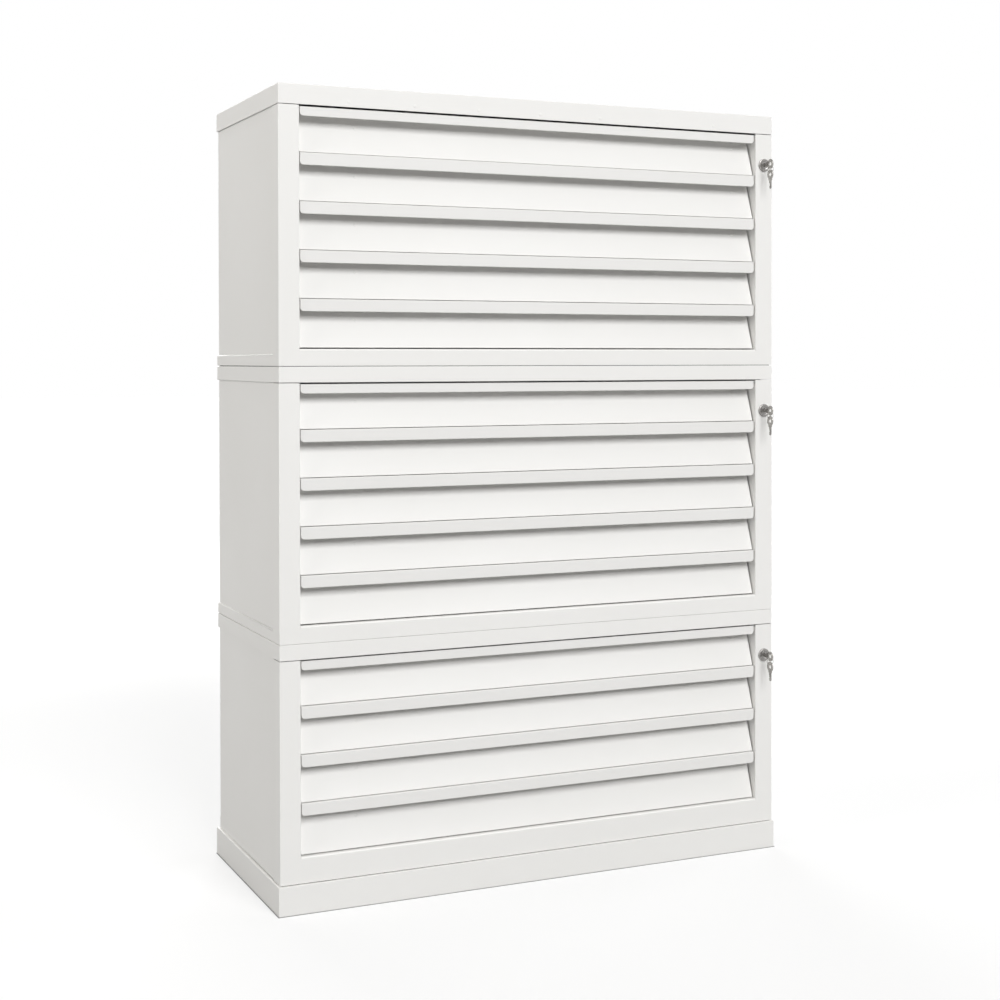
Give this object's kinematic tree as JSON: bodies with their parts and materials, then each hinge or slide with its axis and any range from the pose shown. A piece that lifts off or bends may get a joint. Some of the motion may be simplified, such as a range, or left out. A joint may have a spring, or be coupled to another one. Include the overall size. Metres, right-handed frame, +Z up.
{
  "type": "flat file cabinet",
  "caption": "Tall white steel flat file cabinet: stacked lockable modules of shallow drawers with slanted fronts under full-width pull lips, on a plinth.",
  "frame": {"origin": "on the floor at the middle of the plinth's foot", "axes": "+Z up, the drawer fronts face -Y and slide out along -Y, +X to the right as seen from the front"},
  "size_m": [0.984, 0.4348, 1.3997],
  "materials": {
    "white_powder_coat": "satin white powder coat",
    "white_drawer_coat": "satin white powder coat",
    "zinc_plated_steel": "bright zinc plate",
    "nickel_plate": "satin nickel plate",
    "black_nylon": "moulded nylon"
  },
  "bodies": {
    "cabinet": {"plinth": "white_powder_coat", "runners": "zinc_plated_steel", "lock_cases": "nickel_plate", "bar_guides": "black_nylon", "joining_bolts": "zinc_plated_steel", "lower_cap": "white_powder_coat", "middle_cap": "white_powder_coat", "upper_cap": "white_powder_coat", "lower_pan": "white_powder_coat", "middle_pan": "white_powder_coat", "upper_pan": "white_powder_coat", "lower_left_side": "white_powder_coat", "middle_left_side": "white_powder_coat", "upper_left_side": "white_powder_coat", "lower_right_side": "white_powder_coat", "middle_right_side": "white_powder_coat", "upper_right_side": "white_powder_coat", "lower_back": "white_powder_coat", "middle_back": "white_powder_coat", "upper_back": "white_powder_coat"},
    "drawer_01": {"drawer_01_front": "white_drawer_coat", "drawer_01_tray": "white_drawer_coat"},
    "drawer_02": {"drawer_02_front": "white_drawer_coat", "drawer_02_tray": "white_drawer_coat"},
    "drawer_03": {"drawer_03_front": "white_drawer_coat", "drawer_03_tray": "white_drawer_coat"},
    "drawer_04": {"drawer_04_front": "white_drawer_coat", "drawer_04_tray": "white_drawer_coat"},
    "drawer_05": {"drawer_05_front": "white_drawer_coat", "drawer_05_tray": "white_drawer_coat"},
    "drawer_06": {"drawer_06_front": "white_drawer_coat", "drawer_06_tray": "white_drawer_coat"},
    "drawer_07": {"drawer_07_front": "white_drawer_coat", "drawer_07_tray": "white_drawer_coat"},
    "drawer_08": {"drawer_08_front": "white_drawer_coat", "drawer_08_tray": "white_drawer_coat"},
    "drawer_09": {"drawer_09_front": "white_drawer_coat", "drawer_09_tray": "white_drawer_coat"},
    "drawer_10": {"drawer_10_front": "white_drawer_coat", "drawer_10_tray": "white_drawer_coat"},
    "drawer_11": {"drawer_11_front": "white_drawer_coat", "drawer_11_tray": "white_drawer_coat"},
    "drawer_12": {"drawer_12_front": "white_drawer_coat", "drawer_12_tray": "white_drawer_coat"},
    "drawer_13": {"drawer_13_front": "white_drawer_coat", "drawer_13_tray": "white_drawer_coat"},
    "drawer_14": {"drawer_14_front": "white_drawer_coat", "drawer_14_tray": "white_drawer_coat"},
    "upper_lock": {"upper_lock_plug": "nickel_plate", "upper_key": "nickel_plate"},
    "upper_bar": {"upper_lock_bar": "zinc_plated_steel"},
    "upper_spare": {"upper_spare_key": "nickel_plate"},
    "middle_lock": {"middle_lock_plug": "nickel_plate", "middle_key": "nickel_plate"},
    "middle_bar": {"middle_lock_bar": "zinc_plated_steel"},
    "middle_spare": {"middle_spare_key": "nickel_plate"},
    "lower_lock": {"lower_lock_plug": "nickel_plate", "lower_key": "nickel_plate"},
    "lower_bar": {"lower_lock_bar": "zinc_plated_steel"},
    "lower_spare": {"lower_spare_key": "nickel_plate"}
  },
  "joints": [
    {"name": "drawer_01_slide", "type": "slide", "parent": "cabinet", "child": "drawer_01", "axis": [0, -1, 0], "range_m": [0, 0.25]},
    {"name": "drawer_02_slide", "type": "slide", "parent": "cabinet", "child": "drawer_02", "axis": [0, -1, 0], "range_m": [0, 0.25]},
    {"name": "drawer_03_slide", "type": "slide", "parent": "cabinet", "child": "drawer_03", "axis": [0, -1, 0], "range_m": [0, 0.25]},
    {"name": "drawer_04_slide", "type": "slide", "parent": "cabinet", "child": "drawer_04", "axis": [0, -1, 0], "range_m": [0, 0.25]},
    {"name": "drawer_05_slide", "type": "slide", "parent": "cabinet", "child": "drawer_05", "axis": [0, -1, 0], "range_m": [0, 0.25]},
    {"name": "drawer_06_slide", "type": "slide", "parent": "cabinet", "child": "drawer_06", "axis": [0, -1, 0], "range_m": [0, 0.25]},
    {"name": "drawer_07_slide", "type": "slide", "parent": "cabinet", "child": "drawer_07", "axis": [0, -1, 0], "range_m": [0, 0.25]},
    {"name": "drawer_08_slide", "type": "slide", "parent": "cabinet", "child": "drawer_08", "axis": [0, -1, 0], "range_m": [0, 0.25]},
    {"name": "drawer_09_slide", "type": "slide", "parent": "cabinet", "child": "drawer_09", "axis": [0, -1, 0], "range_m": [0, 0.25]},
    {"name": "drawer_10_slide", "type": "slide", "parent": "cabinet", "child": "drawer_10", "axis": [0, -1, 0], "range_m": [0, 0.25]},
    {"name": "drawer_11_slide", "type": "slide", "parent": "cabinet", "child": "drawer_11", "axis": [0, -1, 0], "range_m": [0, 0.25]},
    {"name": "drawer_12_slide", "type": "slide", "parent": "cabinet", "child": "drawer_12", "axis": [0, -1, 0], "range_m": [0, 0.25]},
    {"name": "drawer_13_slide", "type": "slide", "parent": "cabinet", "child": "drawer_13", "axis": [0, -1, 0], "range_m": [0, 0.25]},
    {"name": "drawer_14_slide", "type": "slide", "parent": "cabinet", "child": "drawer_14", "axis": [0, -1, 0], "range_m": [0, 0.25]},
    {"name": "upper_lock_turn", "type": "hinge", "parent": "cabinet", "child": "upper_lock", "pos_m": [0.4705, -0.2, 1.3062], "axis": [0, -1, 0], "range_deg": [0, 90]},
    {"name": "upper_bar_drop", "type": "slide", "parent": "cabinet", "child": "upper_bar", "axis": [0, 0, -1], "range_m": [0, 0.0099]},
    {"name": "upper_spare_hang", "type": "hinge", "parent": "upper_lock", "child": "upper_spare", "pos_m": [0.4705, -0.2225, 1.29955], "axis": [0, -1, 0], "range_deg": [-90, 0]},
    {"name": "middle_lock_turn", "type": "hinge", "parent": "cabinet", "child": "middle_lock", "pos_m": [0.4705, -0.2, 0.8384], "axis": [0, -1, 0], "range_deg": [0, 90]},
    {"name": "middle_bar_drop", "type": "slide", "parent": "cabinet", "child": "middle_bar", "axis": [0, 0, -1], "range_m": [0, 0.0099]},
    {"name": "middle_spare_hang", "type": "hinge", "parent": "middle_lock", "child": "middle_spare", "pos_m": [0.4705, -0.2225, 0.83175], "axis": [0, -1, 0], "range_deg": [-90, 0]},
    {"name": "lower_lock_turn", "type": "hinge", "parent": "cabinet", "child": "lower_lock", "pos_m": [0.4705, -0.2, 0.3706], "axis": [0, -1, 0], "range_deg": [0, 90]},
    {"name": "lower_bar_drop", "type": "slide", "parent": "cabinet", "child": "lower_bar", "axis": [0, 0, -1], "range_m": [0, 0.0099]},
    {"name": "lower_spare_hang", "type": "hinge", "parent": "lower_lock", "child": "lower_spare", "pos_m": [0.4705, -0.2225, 0.36395], "axis": [0, -1, 0], "range_deg": [-90, 0]}
  ],
  "couplings": [
    {"joint": "upper_lock_turn", "follows": "upper_bar_drop", "rad_per_m": 158.67},
    {"joint": "upper_spare_hang", "follows": "upper_bar_drop", "rad_per_m": -158.67},
    {"joint": "middle_lock_turn", "follows": "middle_bar_drop", "rad_per_m": 158.67},
    {"joint": "middle_spare_hang", "follows": "middle_bar_drop", "rad_per_m": -158.67},
    {"joint": "lower_lock_turn", "follows": "lower_bar_drop", "rad_per_m": 158.67},
    {"joint": "lower_spare_hang", "follows": "lower_bar_drop", "rad_per_m": -158.67}
  ]
}
